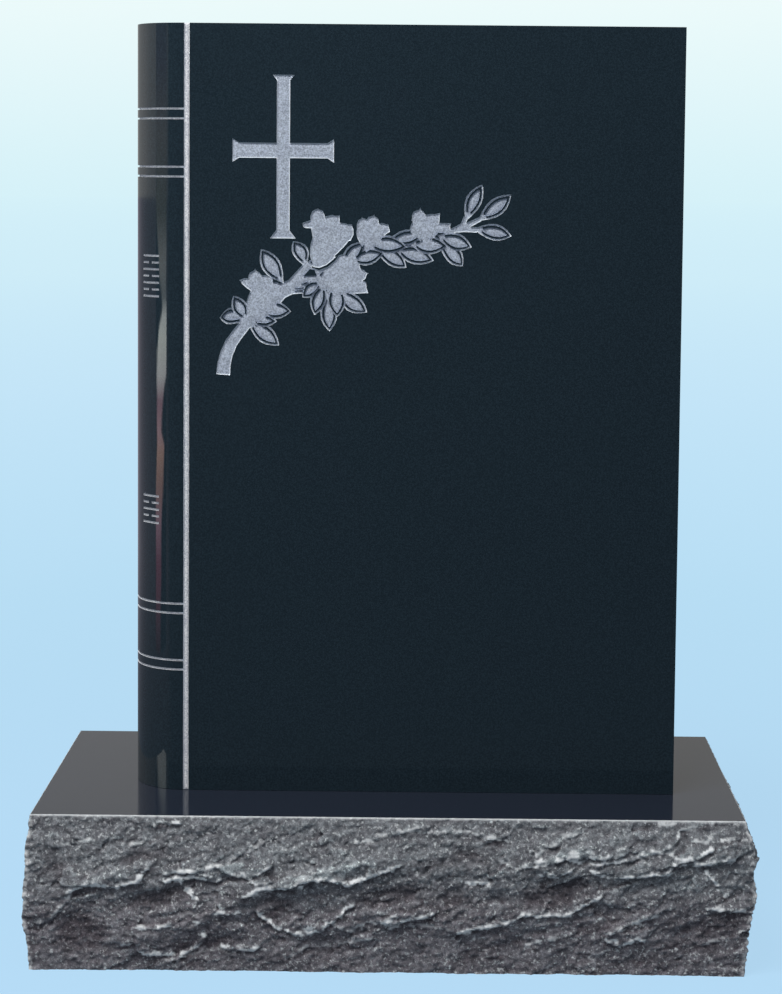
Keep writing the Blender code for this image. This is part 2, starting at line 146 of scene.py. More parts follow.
# The white bruises lie along the crests in patches, and as thin bands along the top arris and up the corners.
# A faint bruise is narrower than a white one
BRUISE_HALF_WIDTHS = (0.0006, 0.0041)
BRUISE_RISE = 0.0010
FAINT_BRUISE_WIDTH = 0.5
WHITE_BRUISE_WIDENING = 0.7
BRUISE_PATCHES = (0.25, 0.50)
BRUISE_STRENGTH = 1.5
ARRIS_WHITENESS = 0.55
ARRIS_BAND = (0.0012, 0.0030)
CORNER_WHITENESS = 0.6
CORNER_BAND = (0.0015, 0.0050)
CORNER_PATCHES = (0.3, 0.7)

# Hollows of the front, and its swellings as hollows of less than nothing: where each lies and how far it
# reaches, along and down, and its depth, in millimetres
FRONT_HOLLOWS = (
    ((60, 130), (36, 28), 3.2),
    ((30, 58), (22, 20), 1.8),
    ((150, 88), (46, 13), 3.2),
    ((188, 140), (54, 18), 1.9),
    ((268, 100), (24, 20), 2.4),
    ((392, 84), (44, 14), 3.6),
    ((450, 92), (44, 18), 1.8),
    ((566, 80), (52, 18), 3.6),
    ((506, 144), (54, 12), 1.6),
    ((738, 116), (60, 18), 2.0),
    ((700, 146), (90, 12), 1.5),
    ((320, 146), (50, 14), 0.9),
    ((620, 116), (40, 9), 1.6),
    ((546, 112), (62, 8), -2.0),
    ((657, 119), (20, 8), -1.6),
    ((330, 56), (80, 12), -2.0),
    ((240, 48), (60, 12), -1.6),
    ((130, 42), (40, 10), 2.0),
    ((96, 62), (36, 8), -1.8),
    ((470, 40), (70, 12), 1.6),
    ((600, 30), (60, 10), -1.4),
    ((456, 163), (7, 6), -2.0),
    ((700, 66), (40, 12), -1.2),
)
HOLLOW_RIM = (0.3, 1.1)
HOLLOW_WANDER = 90

# What is scattered from a seed: fracture edges on all four sides, and hollows on all but the front. The slope
# of each run is drawn about a mean, and crest and whiteness grow with the edge's size
FRACTURE_SEED = 5
FRACTURES_PER_METRE = (40, 60, 60, 60)
FRACTURE_DROPS = (0.06, 0.95)
RUNS_PER_FRACTURE = (1, 7)
RUN_LENGTHS = (6, 34)
RUN_SLOPE = -0.16
RUN_SLOPE_SPREAD = 0.34
LEAST_CREST = 0.5
CREST_GROWTH = 3.2
LEAST_WHITENESS = 0.1
WHITENESS_GROWTH = 0.8
HOLLOW_SEED = 9
HOLLOWS_PER_METRE = 26
HOLLOW_DROPS = (0.2, 1.0)
HOLLOW_LENGTHS = (20, 62)
HOLLOW_HEIGHTS = (8, 22)
HOLLOW_DEPTHS = (-2.0, 3.4)

# The layers of the finer relief: a seed, octaves, a height, and the size of the grain along and down the side
BROAD_WANDER = (31, 2, 0.0013, 0.014, 0.014)
FINE_WANDER = (35, 3, 0.0016, 0.005, 0.005)
PATCHES = (41, 4, 0.9, 0.012, 0.006)
STRATA = (1, 4, 0.0010, 0.050, 0.011)
FACETS = (11, 2, 0.0014, 0.026, 0.012)
FLAKES = (15, 2, 0.0009, 0.010, 0.006)
GRAINS = (21, 3, 0.0016, 0.0055, 0.0038)
PATCH_MIDDLE = 0.5
NOISE_ROUGHNESS = 0.9
NOISE_STEP = 2.1
FACET_WARP = 0.15
FACET_HEIGHTS = 0.5
FACET_TILTS = 0.6
GRAIN_ROUGHNESS = 0.6

# Where the relief starts under the arris and calms at the foot, and how deep a crease or a hollow must be for
# its painted shade to be full
RELIEF_START = 0.010
GRAIN_START = 0.002
FOOT_CALM = 0.3
FOOT_BAND = (0.105, 0.150)
CREASE_SHADE = 0.0016
HOLLOW_SHADE = 0.0028


def read_base():
    """The solid's skin as a tree, its height, and two opposite corners of its top."""
    shape = bmesh.new()
    shape.from_mesh(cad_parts["base"].data)
    skin = BVHTree.FromBMesh(shape)
    top = max(vert.co.z for vert in shape.verts)
    rim = [vert.co for vert in shape.verts if vert.co.z > top - SAME_PLACE]
    low = Vector((min(p.x for p in rim), min(p.y for p in rim)))
    high = Vector((max(p.x for p in rim), max(p.y for p in rim)))
    shape.free()
    return skin, top, low, high


def softened(grid, step_along, step_down):
    """The grid blurred over the reach of one facet of the solid, so that the facets' creases go."""
    for axis, step in ((0, step_along), (1, step_down)):
        reach = max(1, round(SOFTEN_REACH / step))
        weights = np.hanning(2 * reach + 3)[1:-1]
        weights /= weights.sum()
        padding = [(reach, reach) if i == axis else (0, 0) for i in range(2)]
        padded = np.pad(grid, padding, mode="edge")
        grid = np.apply_along_axis(np.convolve, axis, padded, weights, mode="valid")
    return grid


def smooth_step(low, high, value):
    share = np.clip((value - low) / (high - low), 0, 1)
    return share * share * (3 - 2 * share)


def sloped(along, down, slope):
    """Places on a side, measured along and across a slope that rises to the right."""
    run = along * math.cos(slope) - down * math.sin(slope)
    rise = along * math.sin(slope) + down * math.cos(slope)
    return run, rise


def stone_noise(along, down, side, layer, slope=0.0):
    """A layer of fractal noise over a side, with its grain drawn out along a slope."""
    seed, octaves, height, size_along, size_down = layer
    run, rise = sloped(along, down, slope)
    places = zip((run / size_along).ravel(), (rise / size_down).ravel())
    flat = [noise.fractal((x, y, side + seed), NOISE_ROUGHNESS, NOISE_STEP, octaves) for x, y in places]
    return height * np.array(flat).reshape(along.shape)


def facet_noise(along, down, side, layer, slope):
    """The flats that fractures leave: each cell of a broken net is a plane with its own height and tilt."""
    seed, octaves, height, size_along, size_down = layer
    draw = np.random.default_rng(side + seed)
    warp_layer = (seed + 0.5, octaves, FACET_WARP, size_along / 2, size_down / 2)
    warp = stone_noise(along, down, side, warp_layer, slope)
    run, rise = sloped(along, down, slope)
    run = run / size_along + warp
    rise = rise / size_down - warp
    cell_x, cell_y = np.floor(run).astype(int), np.floor(rise).astype(int)
    low_x, low_y = cell_x.min() - 1, cell_y.min() - 1
    cells = (cell_x.max() - low_x + 2, cell_y.max() - low_y + 2)
    middles = draw.uniform(0, 1, (*cells, 2))
    heights = draw.normal(0, FACET_HEIGHTS, cells)
    tilts = draw.normal(0, FACET_TILTS, (*cells, 2))
    nearest = np.full(along.shape, np.inf)
    push = np.zeros(along.shape)
    for step_x in (-1, 0, 1):
        for step_y in (-1, 0, 1):
            cell = (cell_x + step_x - low_x, cell_y + step_y - low_y)
            gap_x = run - cell_x - step_x - middles[cell][..., 0]
            gap_y = rise - cell_y - step_y - middles[cell][..., 1]
            gap = np.hypot(gap_x, gap_y)
            closer = gap < nearest
            plane = heights[cell] + tilts[cell][..., 0] * gap_x + tilts[cell][..., 1] * gap_y
            push = np.where(closer, plane, push)
            nearest = np.where(closer, gap, nearest)
    return height * push


def fracture_relief(fractures, along, down, wander, patchy):
    """What the fracture edges add: the push out of the side, and how white the stone is bruised."""
    thin, thick = BRUISE_HALF_WIDTHS
    half_width = thin + (thick - thin) * np.clip(patchy, 0, 1) ** 2
    push = np.zeros(along.shape)
    bruise = np.zeros(along.shape)
    for line, crest, whiteness in fractures:
        points = np.array(line) / 1000
        nearest = np.full(along.shape, np.inf)
        signed = np.zeros(along.shape)
        beyond = np.zeros(along.shape)
        for index in range(len(points) - 1):
            a, b = points[index], points[index + 1]
            run = b - a
            length = np.hypot(*run)
            share = ((along - a[0]) * run[0] + (down - a[1]) * run[1]) / length**2
            side = ((down - a[1]) * run[0] - (along - a[0]) * run[1]) / length
            held = np.clip(share, 0, 1)
            gap = np.hypot(along - a[0] - run[0] * held, down - a[1] - run[1] * held)
            closer = gap < nearest
            over = np.zeros(along.shape)
            if index == 0:
                over = np.maximum(over, -share * length)
            if index == len(points) - 2:
                over = np.maximum(over, (share - 1) * length)
            nearest = np.where(closer, gap, nearest)
            signed = np.where(closer, np.where(side < 0, -gap, gap), signed)
            beyond = np.where(closer, over, beyond)
        below = signed + wander
        fade = 1 - smooth_step(0, CREST_END, beyond)
        rise = np.exp(-np.maximum(-below, 0) / CREST_RISE)
        fall = 1 - smooth_step(0, CREST_FALL, below)
        undercut = np.exp(-np.maximum(below - CREST_FALL, 0) / UNDERCUT_REACH)
        undercut = undercut * smooth_step(0, CREST_FALL, below)
        push += CREST_SHARE * crest / 1000 * fade * (rise * fall - UNDERCUT_SHARE * undercut)
        width = FAINT_BRUISE_WIDTH + WHITE_BRUISE_WIDENING * whiteness
        edge = np.exp(-(((below + BRUISE_RISE) / half_width / width) ** 4))
        bruise = np.maximum(bruise, whiteness * fade * edge)
    return push, bruise


def scattered_fractures(length, height, count, seed):
    """Fracture edges for a side, each a few short runs that climb to the right, as lists of millimetres."""
    draw = np.random.default_rng(seed)
    found = []
    for _ in range(count):
        x = draw.uniform(0, length * 1000)
        y = draw.uniform(*FRACTURE_DROPS) * height * 1000
        line = [(x, y)]
        for _ in range(draw.integers(*RUNS_PER_FRACTURE)):
            run = draw.uniform(*RUN_LENGTHS)
            x += run
            y += run * draw.normal(RUN_SLOPE, RUN_SLOPE_SPREAD)
            line.append((x, y))
        size = draw.uniform(0, 1) ** 2
        crest = LEAST_CREST + CREST_GROWTH * size
        found.append((tuple(line), crest, LEAST_WHITENESS + WHITENESS_GROWTH * size))
    return found


def scattered_hollows(length, height, count, seed):
    """Hollows and swellings for a side, as the front's are written."""
    draw = np.random.default_rng(seed)
    found = []
    for _ in range(count):
        middle = (draw.uniform(0, length) * 1000, draw.uniform(*HOLLOW_DROPS) * height * 1000)
        reach = (draw.uniform(*HOLLOW_LENGTHS), draw.uniform(*HOLLOW_HEIGHTS))
        found.append((middle, reach, draw.uniform(*HOLLOW_DEPTHS)))
    return found


base_skin, base_height, arris_low, arris_high = read_base()
arris_length = arris_high.x - arris_low.x
arris_depth = arris_high.y - arris_low.y

# The front, right, back and left: where each starts, which way it runs and faces, its length, its columns,
# and how rough it is split
split_sides = (
    ((arris_low.x, arris_low.y), (1, 0), (0, -1), arris_length, FRONT_SPLIT_COLUMNS, 1.0),
    ((arris_high.x, arris_low.y), (0, 1), (1, 0), arris_depth, END_SPLIT_COLUMNS, 1.0),
    ((arris_high.x, arris_high.y), (-1, 0), (0, 1), arris_length, BACK_SPLIT_COLUMNS, 1.0),
    ((arris_low.x, arris_high.y), (0, -1), (-1, 0), arris_depth, END_SPLIT_COLUMNS, 0.5),
)
split_drops = np.concatenate(([0], np.linspace(BASE_TOP_CHAMFER, base_height, SPLIT_ROWS - 1)))


def solid_push(start, way, out, length, columns):
    """How far the solid stands out of the arris line, at each column and row of a side."""
    pushes = np.zeros((columns + 1, SPLIT_ROWS))
    for column in range(columns + 1):
        run = min(max(length * column / columns, EDGE_MARGIN), length - EDGE_MARGIN)
        place = Vector(start) + Vector(way) * run + Vector(out) * RAY_START
        for row, drop in enumerate(split_drops):
            height = min(max(base_height - drop, EDGE_MARGIN), base_height - TOP_MARGIN)
            hit = base_skin.ray_cast(Vector((place.x, place.y, height)), Vector((-out[0], -out[1], 0)))
            pushes[column, row] = RAY_START - hit[3]
    return pushes


def hollow_relief(hollows, along, down, wander):
    """How deep the hollows lie at each place of a side, and less than nothing on its swellings."""
    pits = np.zeros(along.shape)
    for (x, y), (reach_x, reach_y), depth in hollows:
        run, rise = sloped(along * 1000 - x, down * 1000 - y, STRATA_SLOPE)
        far = np.hypot(run / reach_x, rise / reach_y)
        pits += depth / 1000 * (1 - smooth_step(*HOLLOW_RIM, far + HOLLOW_WANDER * wander))
    return pits


def split_relief(index, start, way, out, length, columns, roughness):
    """A side's push at each column and row, and its two masks: the bruised white, and the painted shade in
    its creases and hollows with painted light on its crests and swellings.
    """
    step_down = base_height / SPLIT_ROWS
    broad = softened(solid_push(start, way, out, length, columns), length / columns, step_down)
    along = np.repeat(np.linspace(0, length, columns + 1)[:, None], SPLIT_ROWS, axis=1)
    down = np.repeat(split_drops[None, :], columns + 1, axis=0)
    wander = stone_noise(along, down, index, BROAD_WANDER)
    wander += stone_noise(along, down, index, FINE_WANDER)
    fractures = list(FRONT_FRACTURES) if index == 0 else []
    count = round(length * FRACTURES_PER_METRE[index])
    fractures += scattered_fractures(length, base_height, count, index + FRACTURE_SEED)
    patchy = PATCH_MIDDLE + stone_noise(along, down, index, PATCHES)
    edges, bruise = fracture_relief(fractures, along, down, wander, patchy)
    strata = stone_noise(along, down, index, STRATA, STRATA_SLOPE)
    facets = facet_noise(along, down, index, FACETS, STRATA_SLOPE)
    flakes = facet_noise(along, down, index, FLAKES, STRATA_SLOPE)
    grains = stone_noise(along, down, index, GRAINS, STRATA_SLOPE)
    hollows = FRONT_HOLLOWS
    if index > 0:
        count = round(length * HOLLOWS_PER_METRE)
        hollows = scattered_hollows(length, base_height, count, index + HOLLOW_SEED)
    pits = hollow_relief(hollows, along, down, wander)
    calmer = 1 - FOOT_CALM * smooth_step(*FOOT_BAND, down)
    relief = roughness * (calmer * (edges + strata + facets + flakes) - pits)
    push = np.maximum(broad, 0) + smooth_step(0, RELIEF_START, down) * relief
    push += roughness * calmer * smooth_step(0, GRAIN_START, down) * grains
    # Painted shade and light: where the relief sinks below its softened self in creases and hollows the stone
    # is painted darker, and where it stands above it on crests and swellings it is painted lighter
    relief_shading = softened(edges + strata + facets, length / columns, step_down) - (edges + strata + facets)
    relief_shading = np.clip(relief_shading / CREASE_SHADE, -1, 1) + np.clip(pits / HOLLOW_SHADE, -1, 1)
    bruise = np.clip(bruise * smooth_step(*BRUISE_PATCHES, patchy) * BRUISE_STRENGTH, 0, 1)
    bruise = np.maximum(bruise, ARRIS_WHITENESS * (1 - smooth_step(*ARRIS_BAND, down)))
    corner = 1 - smooth_step(*CORNER_BAND, np.minimum(along, length - along))
    bruise = np.maximum(bruise, CORNER_WHITENESS * corner * smooth_step(*CORNER_PATCHES, patchy))
    return push, bruise, np.clip(relief_shading, -1, 1)


def finished_mesh(name, shape):
    mesh = bpy.data.meshes.new(name)
    shape.to_mesh(mesh)
    shape.free()
    return mesh


def split_block():
    """The whole block as one closed mesh, with the bruise mask and the mask of painted shade and painted
    light kept on its points.
    """
    reliefs = [split_relief(index, *side) for index, side in enumerate(split_sides)]
    shape = bmesh.new()
    bruise_layer = shape.verts.layers.float.new("bruise")
    relief_shading_layer = shape.verts.layers.float.new("relief_shading")
    ring = []
    for index, (start, way, out, length, columns, _) in enumerate(split_sides):
        push, bruise, relief_shading = reliefs[index]
        before = reliefs[index - 1][0][-1]
        after = reliefs[(index + 1) % 4][0][0]
        for column in range(columns):
            share = column / columns
            verts = []
            for row, drop in enumerate(split_drops):
                inset = BASE_TOP_CHAMFER if row == 0 else 0
                back = before[row] - inset
                beyond = after[row] - inset
                run = -back + share * (length + back + beyond)
                place = Vector(start) + Vector(way) * run + Vector(out) * (push[column, row] - inset)
                vert = shape.verts.new((place.x, place.y, base_height - drop))
                vert[bruise_layer] = bruise[column, row]
                vert[relief_shading_layer] = relief_shading[column, row]
                verts.append(vert)
            ring.append(verts)
    for index, right in enumerate(ring):
        left = ring[index - 1]
        for row in range(SPLIT_ROWS - 1):
            face = shape.faces.new([left[row], left[row + 1], right[row + 1], right[row]])
            face.smooth = row > 0
    top = shape.faces.new([verts[0] for verts in ring])
    top.material_index = 1
    shape.faces.new([verts[-1] for verts in reversed(ring)])
    bmesh.ops.recalc_face_normals(shape, faces=shape.faces)
    for edge in shape.edges:
        edge.smooth = all(face.smooth for face in edge.link_faces)
    bmesh.ops.triangulate(shape, faces=shape.faces)
    return finished_mesh("pitched_base", shape)


def new_finish(name):
    finish = bpy.data.materials.new(name)
    finish.use_nodes = True
    return finish, finish.node_tree, finish.node_tree.nodes["Principled BSDF"]


def add_node(tree, kind, sockets=(), **settings):
    """Adds a node. A socket given another node's output is linked to it, and one given a value is set."""
    made = tree.nodes.new("ShaderNode" + kind)
    for name, value in settings.items():
        setattr(made, name, value)
    for name, value in dict(sockets).items():
        if isinstance(value, bpy.types.NodeSocket):
            tree.links.new(value, made.inputs[name])
        else:
            made.inputs[name].default_value = value
    return made


def add_share(tree, value, low, high):
    """The value as a share of the way from one limit to the other, kept between 0 and 1."""
    spread = add_node(tree, "MapRange", {"Value": value, "From Min": low, "From Max": high}, clamp=True)
    return spread.outputs["Result"]


def add_grains(tree, place, size, low, high, detail=2.0):
    """Noise of grains of a size in metres, spread from 0 to 1 between its two limits."""
    sockets = {"Vector": place, "Scale": 1 / size, "Detail": detail, "Roughness": GRAIN_ROUGHNESS}
    grains = add_node(tree, "TexNoise", sockets)
    return add_share(tree, grains.outputs["Fac"], low, high)


def add_blend(tree, share, first, second, way="MIX"):
    mixed = add_node(tree, "MixRGB", {"Fac": share, "Color1": first, "Color2": second}, blend_type=way)
    return mixed.outputs["Color"]


def set_surface(tree, shader, colour, roughness, index):
    tree.links.new(colour, shader.inputs["Base Color"])
    shader.inputs["Roughness"].default_value = roughness
    shader.inputs["IOR"].default_value = index


def set_crystals(tree, shader, place, crystals, height):
    """Makes the crystals stand out as fine bumps."""
    relief = add_node(tree, "TexNoise", {"Vector": place, **crystals})
    bump = add_node(tree, "Bump", {"Height": relief.outputs["Fac"], **height})
    tree.links.new(bump.outputs["Normal"], shader.inputs["Normal"])


SPLIT_COLOUR = (0.330, 0.322, 0.350, 1)
UPPER_SPLIT_COLOUR = (0.345, 0.370, 0.392, 1)
UPPER_SPLIT_BAND = (0.060, 0.110)

# Dark grains of three sizes, each with the limits of its noise, its detail and the shade laid over the stone
DARK_GRAINS = (
    (0.018, 0.38, 0.62, 5, (0.66, 0.63, 0.65, 1)),
    (0.0050, 0.40, 0.60, 3, (0.55, 0.55, 0.56, 1)),
    (0.0017, 0.40, 0.60, 2, (0.64, 0.64, 0.65, 1)),
)
PALE_GRAINS = (0.0036, 0.56, 0.72)
PALE_COLOUR = (0.62, 0.65, 0.66, 1)
# Painted shade darkens the stone over one band of the shading mask, in creases and hollows, and painted light
# brightens it over the other, on crests and swellings
PAINTED_SHADE_BAND = (0.0, 0.9)
HOLLOW_PAINTED_SHADE = (0.50, 0.455, 0.475, 1)
PAINTED_LIGHT_BAND = (-0.2, -1.0)
RAISED_PAINTED_LIGHT = (1.50, 1.58, 1.55, 1)
BRUISE_COLOUR = (0.93, 0.95, 0.96, 1)
SPLIT_ROUGHNESS = 0.82
SPLIT_INDEX = 1.45
SPLIT_CRYSTALS = {"Scale": 650, "Detail": 4, "Roughness": 0.7}
SPLIT_BUMP = {"Strength": 0.9, "Distance": 0.0012}


def split_finish():
    """Fractured granite: dark and light grains, painted shade in its creases and hollows with painted light
    on its crests and swellings, white bruises and a paler upper part.
    """
    finish, tree, shader = new_finish("split_granite")
    place = add_node(tree, "TexCoord").outputs["Object"]
    height = add_node(tree, "SeparateXYZ", {"Vector": place}).outputs["Z"]
    upper = add_share(tree, height, *UPPER_SPLIT_BAND)
    body = add_blend(tree, upper, SPLIT_COLOUR, UPPER_SPLIT_COLOUR)
    for size, low, high, detail, shade in DARK_GRAINS:
        grains = add_grains(tree, place, size, low, high, detail)
        body = add_blend(tree, grains, add_blend(tree, 1.0, body, shade, "MULTIPLY"), body)
    pale = add_grains(tree, place, *PALE_GRAINS)
    body = add_blend(tree, pale, body, PALE_COLOUR)
    relief_shading = add_node(tree, "Attribute", attribute_name="relief_shading").outputs["Fac"]
    # Painted shade in the creases and hollows, then painted light on the crests and swellings
    for band, painted_shading in ((PAINTED_SHADE_BAND, HOLLOW_PAINTED_SHADE), (PAINTED_LIGHT_BAND, RAISED_PAINTED_LIGHT)):
        share = add_share(tree, relief_shading, *band)
        body = add_blend(tree, share, body, add_blend(tree, 1.0, body, painted_shading, "MULTIPLY"))
    bruise = add_node(tree, "Attribute", attribute_name="bruise").outputs["Fac"]
    body = add_blend(tree, bruise, body, BRUISE_COLOUR)
    set_surface(tree, shader, body, SPLIT_ROUGHNESS, SPLIT_INDEX)
    set_crystals(tree, shader, place, SPLIT_CRYSTALS, SPLIT_BUMP)
    return finish


# Polished stone: its own colour, the colour of its crystals and its roughness
POLISHED_TOP = ((0.010, 0.014, 0.025), (0.030, 0.038, 0.056), 0.10)
POLISHED_CRYSTALS = (0.0018, 0.40, 0.66)
POLISHED_INDEX = 1.36


def polished_finish(name, colour, crystal_colour, roughness):
    """Ground and polished black granite: a mirror over near-black stone with faint crystals in it."""
    finish, tree, shader = new_finish(name)
    place = add_node(tree, "TexCoord").outputs["Object"]
    crystals = add_grains(tree, place, *POLISHED_CRYSTALS)
    body = add_blend(tree, crystals, (*colour, 1), (*crystal_colour, 1))
    set_surface(tree, shader, body, roughness, POLISHED_INDEX)
    return finish


base_mesh = split_block()
base_mesh.materials.append(split_finish())
base_mesh.materials.append(polished_finish("polished_top", *POLISHED_TOP))
base = in_scene("pitched_base", base_mesh)
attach(base, "root")
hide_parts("base")


# The tablet is one slab of black granite, cut and polished all over to the shape of a closed book and set on
# the base. The cross, the spray, the joints and the spine's lines are blasted into it and left frosted.

SPINE_RADIUS = 0.058
SPINE_FACETS = 20
ROUND_LIMIT = 0.98
CARVE_DEPTH = 0.002
CARVED_SHARE = 0.25
JOINT_LINE = 0.0062
JOINT_MARGIN = 1e-4
CUT_TOLERANCE = 1e-6
PROBE_REACH = 0.001

tablet_low, tablet_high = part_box("tablet")
joint_x = tablet_low.x + SPINE_RADIUS
spine_y = (tablet_low.y + tablet_high.y) / 2
face_from = joint_x + JOINT_LINE + JOINT_MARGIN
sunk_y = tablet_low.y + CARVE_DEPTH

# The net laid over the sunk floor, how far it swells between the walls, and how rough the blasting leaves it
CARVE_STEP = 0.0014
WALL_GAP = 0.55
DOME = 0.0009
DOME_REACH = 0.005
BLASTED_HEIGHT = 0.00012
BLASTED_GRAIN = 0.0022
LEAF_REACH = 0.060

# The petals' pointed corners, as triangles blasted beyond the solid's rounder outline, in millimetres along
# and up from the cut end of the spray's stem
SPRAY_FROM_JOINT = 0.044
SPRAY_DROP = 0.3866
PETAL_CORNERS = (
    ((31, 93), (30, 106.5), (17.5, 104)),
    ((110, 170), (113.5, 175.5), (128.5, 176.5)),
    ((110, 170), (128.5, 176.5), (127, 160)),
    ((126, 150), (128.4, 166.5), (142, 167)),
    ((126, 150), (142, 167), (144, 156)),
    ((126, 150), (144, 156), (140.5, 148.5)),
    ((99, 166), (97.5, 171.5), (86, 167.5)),
    ((146, 119), (161, 112.8), (146, 104)),
    ((148, 104), (160.5, 91), (138, 89.5)),
    ((148, 104), (157, 101), (160.5, 91)),
    ((158, 168), (166.5, 178), (171, 162)),
    ((169, 164.3), (182, 167.5), (184, 159)),
    ((169, 164.3), (184, 159), (170, 150)),
    ((149, 165), (153, 175), (159, 168)),
    ((207.5, 171), (217.5, 186), (222, 174)),
    ((207.5, 171), (210, 180), (214, 175)),
    ((222, 176), (239.5, 180.5), (237.5, 164)),
    ((236.5, 169.3), (252, 169), (246, 159)),
    ((30, 107), (35, 117), (41, 108)),
)

# Lines of polished stone left standing between two blossoms, and between a leaf and its blossom
STANDING_LINES = (
    ((128, 133.5), (123.7, 128.1), (114.7, 120.4), (105.5, 117), (97.5, 119.5)),
    ((155.5, 144.5), (151.5, 136.1), (147, 130)),
)
STANDING_WIDTH = 2.4
STANDING_TIP = 0.3


def sunk_by(place):
    """How deep a point lies under the tablet's outer skin, leaving the two ends out."""
    if place.x < joint_x - SAME_PLACE:
        return SPINE_RADIUS - math.hypot(place.x - joint_x, place.y - spine_y)
    return min(place.y - tablet_low.y, tablet_high.y - place.y, tablet_high.x - place.x)


def is_end(face):
    ends = (tablet_low.z, tablet_high.z)
    return all(min(abs(vert.co.z - end) for end in ends) < SAME_PLACE for vert in face.verts)


def is_carved(face):
    return not is_end(face) and max(sunk_by(vert.co) for vert in face.verts) > CARVE_DEPTH * CARVED_SHARE


def lies_at(face, *depths):
    """Whether every point of the face lies at one of these depths."""
    return all(min(abs(vert.co.y - depth) for depth in depths) < SAME_PLACE for vert in face.verts)


def border_edges(faces):
    """The edges that belong to just one of these faces."""
    own = set(faces)
    return [edge for face in faces for edge in face.edges if sum(f in own for f in edge.link_faces) == 1]


def ends_of(edges):
    return list(dict.fromkeys(vert for edge in edges for vert in edge.verts))


def flat_outline(verts, edges):
    """The points in the plane of the face, and the edges as pairs of their numbers."""
    number = {vert: index for index, vert in enumerate(verts)}
    points = [Vector((vert.co.x, vert.co.z)) for vert in verts]
    return points, [tuple(number[vert] for vert in edge.verts) for edge in edges]


def middle_of(triangle, points):
    return sum((points[index] for index in triangle), Vector((0, 0))) / 3


def round_spine(shape):
    """Cuts each flat of the spine once more and brings all its points to the true round."""
    for facet in range(SPINE_FACETS):
        angle = math.pi * (facet + 0.5) / SPINE_FACETS
        spine_faces = [face for face in shape.faces if face.calc_center_median().x < joint_x]
        around = dict.fromkeys(edge for face in spine_faces for edge in face.edges)
        corners = dict.fromkeys(vert for face in spine_faces for vert in face.verts)
        bmesh.ops.bisect_plane(
            shape,
            geom=list(corners) + list(around) + spine_faces,
            dist=CUT_TOLERANCE,
            plane_co=(joint_x, spine_y, 0),
            plane_no=(math.cos(angle), -math.sin(angle), 0),
        )
    for vert in shape.verts:
        reach = math.hypot(vert.co.x - joint_x, vert.co.y - spine_y)
        if vert.co.x < joint_x - SAME_PLACE and reach > SPINE_RADIUS / 2:
            true = SPINE_RADIUS if reach > SPINE_RADIUS - CARVE_DEPTH / 2 else SPINE_RADIUS - CARVE_DEPTH
            vert.co.x = joint_x + (vert.co.x - joint_x) * true / reach
            vert.co.y = spine_y + (vert.co.y - spine_y) * true / reach


def faces_tree(faces):
    """A tree of these triangles, for finding what lies over them or how near they are."""
    points = [vert.co for face in faces for vert in face.verts]
    triangles = [tuple(range(3 * index, 3 * index + 3)) for index in range(len(faces))]
    return BVHTree.FromPolygons(points, triangles)


def lies_over(tree, point):
    start = Vector((point.x, sunk_y - PROBE_REACH, point.y))
    return tree.ray_cast(start, Vector((0, 1, 0)), 2 * PROBE_REACH)[0] is not None


def lies_in(triangles, point):
    return any(intersect_point_tri_2d(point, *triangle) for triangle in triangles)


def on_face(triangles):
    """Triangles brought from the spray's millimetres to their places on the face."""
    root = Vector((joint_x + SPRAY_FROM_JOINT, tablet_high.z - SPRAY_DROP))
    return [[root + Vector(point) / 1000 for point in triangle] for triangle in triangles]


def line_corners(line):
    """The triangles of a standing line, which narrows to a point at each end."""
    sides = [[], []]
    for index, point in enumerate(line):
        before = Vector(line[max(index - 1, 0)])
        after = Vector(line[min(index + 1, len(line) - 1)])
        run = (after - before).normalized()
        half = (STANDING_WIDTH if 0 < index < len(line) - 1 else STANDING_TIP) / 2
        for side, way in zip(sides, (1, -1)):
            side.append(Vector(point) + way * half * Vector((-run.y, run.x)))
    left, right = sides
    found = []
    for index in range(len(line) - 1):
        found.append((left[index], right[index], right[index + 1]))
        found.append((left[index], right[index + 1], left[index + 1]))
    return found


def sharpen_petals(shape):
    """Cuts the face and its carving again, with the petals' corners sunk and the thin lines left standing."""
    sides = [face for face in shape.faces if not is_end(face) and lies_at(face, tablet_low.y, sunk_y)]
    flat = [face for face in sides if face.calc_center_median().x > face_from]
    sunk_faces = [face for face in flat if lies_at(face, sunk_y)]
    outer = border_edges(flat)
    rims = border_edges(sunk_faces)
    sunk_tree = faces_tree(sunk_faces)
    kept = ends_of(outer)
    points, edges = flat_outline(ends_of(outer + rims), outer + rims)
    corners = on_face(PETAL_CORNERS)
    standing = on_face(triangle for line in STANDING_LINES for triangle in line_corners(line))
    for corner in corners + standing:
        first = len(points)
        points += corner
        edges += [(first, first + 1), (first + 1, first + 2), (first + 2, first)]
    bmesh.ops.delete(shape, geom=flat, context="FACES")
    cut_points, _, triangles, owners = delaunay_2d_cdt(points, edges, [], 0, CUT_TOLERANCE)[:4]
    land = {index: kept[min(own)] for index, own in enumerate(owners) if own and min(own) < len(kept)}
    floor_points = {}
    beside = {}
    for triangle in triangles:
        middle = middle_of(triangle, cut_points)
        sunk = lies_over(sunk_tree, middle) or lies_in(corners, middle)
        sunk = sunk and not lies_in(standing, middle)
        level, depth = (floor_points, sunk_y) if sunk else (land, tablet_low.y)
        for index in triangle:
            if index not in level:
                level[index] = shape.verts.new((cut_points[index].x, depth, cut_points[index].y))
        shape.faces.new([level[index] for index in triangle])
        for a, b in zip(triangle, triangle[1:] + triangle[:1]):
            beside.setdefault((min(a, b), max(a, b)), []).append(sunk)
    for (a, b), found in beside.items():
        if len(found) == 2 and found[0] != found[1]:
            shape.faces.new([land[a], land[b], floor_points[b]])
            shape.faces.new([land[a], floor_points[b], floor_points[a]])


